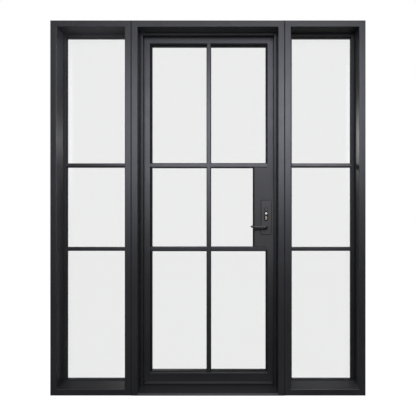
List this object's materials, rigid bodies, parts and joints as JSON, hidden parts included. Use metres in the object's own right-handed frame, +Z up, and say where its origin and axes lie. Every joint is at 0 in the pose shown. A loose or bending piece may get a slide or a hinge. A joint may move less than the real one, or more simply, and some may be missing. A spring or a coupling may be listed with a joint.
{
  "type": "glass door",
  "caption": "Steel-framed glass entry door: a hinged leaf with cross bars and a lever lock over a sloped threshold, between fixed glazed sidelites.",
  "frame": {"origin": "on the floor under the middle of the threshold, halfway through the frame depth", "axes": "+X to the right seen from outside, +Y through the door to the inside, +Z up"},
  "size_m": [1.87, 0.2105, 2.225],
  "materials": {
    "black_paint": "satin black powder coat on steel",
    "black_glazing": "matt black paint on the steel glazing stops",
    "black_section": "satin black powder coat on aluminium glazing section",
    "black_trim": "satin black handle set",
    "glass": "clear",
    "spacer": "dark hollow spacer",
    "rubber": "matt",
    "nickel": "nickel",
    "steel": "plain",
    "brass": "satin"
  },
  "bodies": {
    "frame": {"left_outer_jamb": "black_paint", "left_inner_jamb": "black_paint", "left_head": "black_paint", "left_sill": "black_paint", "left_stops": "black_section", "left_bars": "black_paint", "left_panes": "glass", "left_spacers": "spacer", "left_beads": "black_section", "right_outer_jamb": "black_paint", "right_inner_jamb": "black_paint", "right_head": "black_paint", "right_sill": "black_paint", "right_stops": "black_section", "right_bars": "black_paint", "right_panes": "glass", "right_spacers": "spacer", "right_beads": "black_section", "hinge_jamb": "black_paint", "strike_jamb": "black_paint", "door_head": "black_paint", "threshold": "black_paint", "door_stops": "black_paint", "weatherstrip": "rubber", "strike_plate": "nickel", "coupling_bolts": "steel", "hinge_frame_halves": "black_paint", "hinge_pins": "steel", "hinge_washers": "steel"},
    "leaf": {"hinge_stile": "black_paint", "lock_stile": "black_paint", "top_rail": "black_paint", "bottom_rail": "black_paint", "vertical_bar": "black_paint", "upper_bars": "black_paint", "lower_bars": "black_paint", "lock_box": "black_paint", "leaf_stops": "black_glazing", "top_panes": "glass", "middle_panes": "glass", "bottom_panes": "glass", "leaf_spacers": "spacer", "leaf_beads": "black_section", "weather_bar": "black_section", "door_sweep": "rubber", "hinge_leaf_halves": "black_paint", "lock_case": "nickel", "lock_cylinder": "brass", "outside_plate": "black_trim", "inside_plate": "black_trim", "plate_bolts": "black_trim"},
    "lever_set": {"outside_lever": "black_trim", "inside_lever": "black_trim", "spindle": "steel", "follower": "steel"},
    "latch": {"latch_bolt": "nickel"},
    "deadbolt": {"dead_bolt": "nickel"},
    "key_plug": {"key_plug": "nickel"},
    "thumb_turn": {"thumb_turn": "black_trim"}
  },
  "joints": [
    {"name": "door_swing", "type": "hinge", "parent": "frame", "child": "leaf", "pos_m": [-0.415, 0.0865, 0], "axis": [0, 0, 1], "range_deg": [0, 110]},
    {"name": "lever_turn", "type": "hinge", "parent": "leaf", "child": "lever_set", "pos_m": [0.355, 0.05, 0.998], "axis": [0, -1, 0], "range_deg": [0, 45], "stiffness_Nm_per_rad": 1, "springref_deg": -34.38},
    {"name": "latch_slide", "type": "slide", "parent": "leaf", "child": "latch", "axis": [1, 0, 0], "range_m": [0, 0.012]},
    {"name": "turn_spin", "type": "hinge", "parent": "leaf", "child": "thumb_turn", "pos_m": [0.355, 0.05, 1.081], "axis": [0, 1, 0], "range_deg": [0, 90]},
    {"name": "bolt_slide", "type": "slide", "parent": "leaf", "child": "deadbolt", "axis": [1, 0, 0], "range_m": [0, 0.02]},
    {"name": "plug_turn", "type": "hinge", "parent": "leaf", "child": "key_plug", "pos_m": [0.355, 0.03, 1.081], "axis": [0, 1, 0], "range_deg": [0, 360]}
  ],
  "couplings": [
    {"joint": "turn_spin", "follows": "bolt_slide", "rad_per_m": 78.53}
  ]
}
